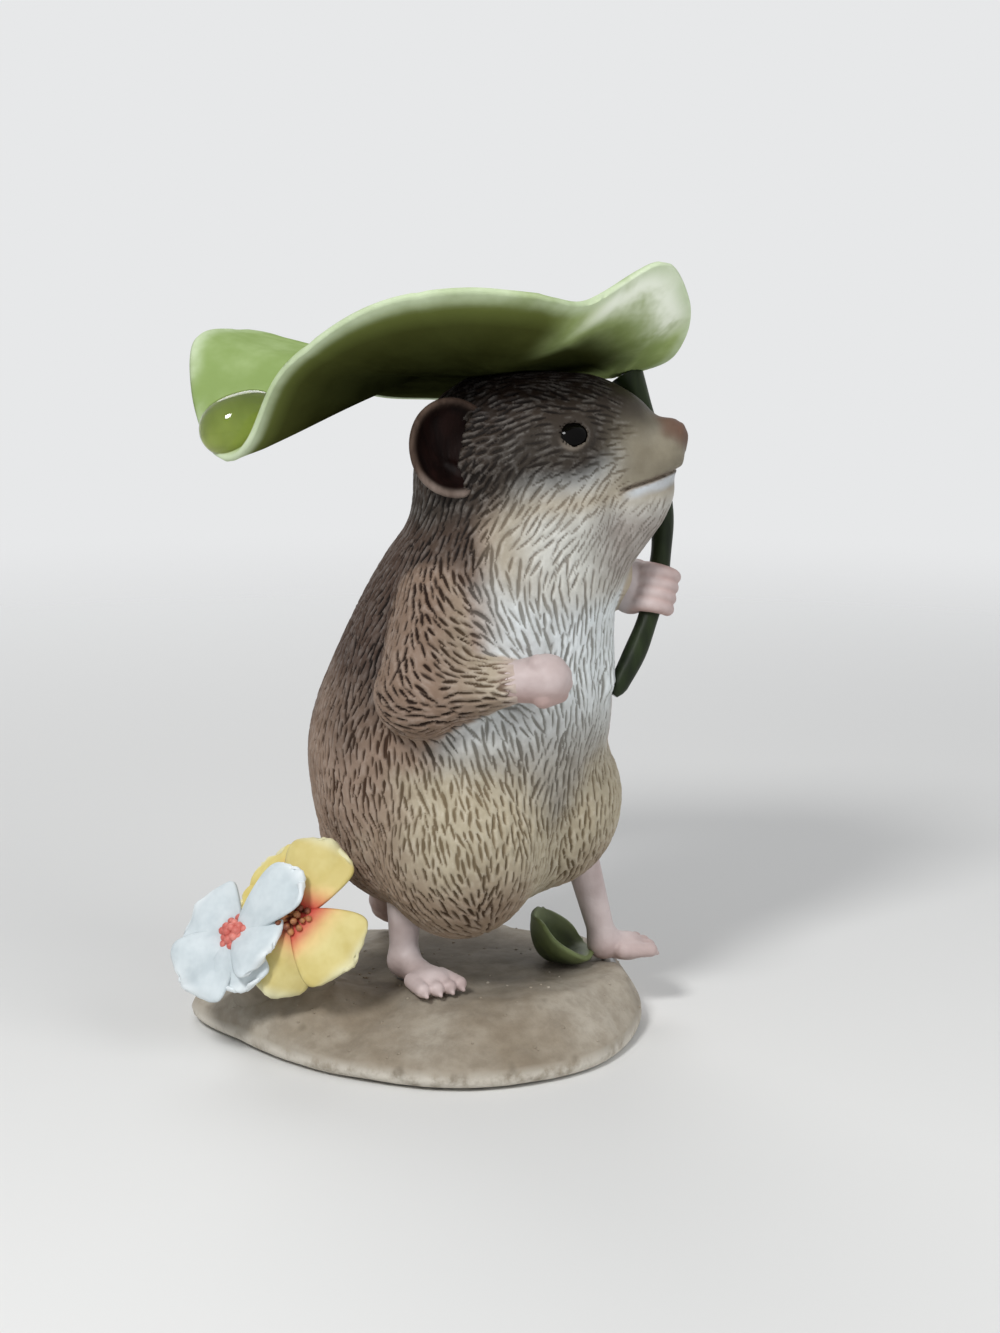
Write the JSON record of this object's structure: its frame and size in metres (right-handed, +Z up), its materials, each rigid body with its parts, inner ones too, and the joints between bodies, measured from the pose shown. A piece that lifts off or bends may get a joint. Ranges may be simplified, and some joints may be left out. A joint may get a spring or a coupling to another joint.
{
  "type": "mouse figurine",
  "caption": "Upright mouse figurine on a ground base, holding a large leaf over its head by the stem, with flowers at its feet.",
  "frame": {"origin": "middle of the underside, on the surface that it stands on", "axes": "+Z up, the mouse's body faces -Y, its left side is +X"},
  "size_m": [0.043, 0.0444, 0.0724],
  "materials": {
    "fur": "painted resin, satin",
    "belly_fur": "painted resin, satin",
    "skin": "painted resin, satin",
    "eye": "gloss",
    "leaf_green": "painted resin, satin",
    "stem_green": "painted resin, satin",
    "clear_resin": "clear gloss",
    "white_petal": "painted resin, satin",
    "yellow_petal": "painted resin, satin",
    "flower_centre": "painted resin, satin",
    "ground": "painted resin, matt",
    "felt": "felt",
    "steel": "drawn wire",
    "brass": "drawn rod"
  },
  "bodies": {
    "root": {"ground_base": "ground", "felt_pad": "felt", "torso": "fur", "head": "fur", "neck_dowel": "brass", "right_eye": "eye", "left_eye": "eye", "right_ear": "fur", "left_ear": "fur", "right_haunch": "belly_fur", "left_haunch": "belly_fur", "right_arm": "fur", "right_paw": "skin", "left_arm": "belly_fur", "left_paw": "skin", "right_foot": "skin", "left_foot": "skin", "leg_pins": "steel", "tail": "skin", "leaf": "leaf_green", "leaf_stem": "stem_green", "stem_wire": "steel", "dew_drop": "clear_resin", "white_flower": "white_petal", "white_flower_centre": "flower_centre", "yellow_flower": "yellow_petal", "yellow_flower_centre": "flower_centre", "back_flower": "yellow_petal", "back_flower_centre": "flower_centre", "curled_leaf": "stem_green"}
  },
  "joints": []
}
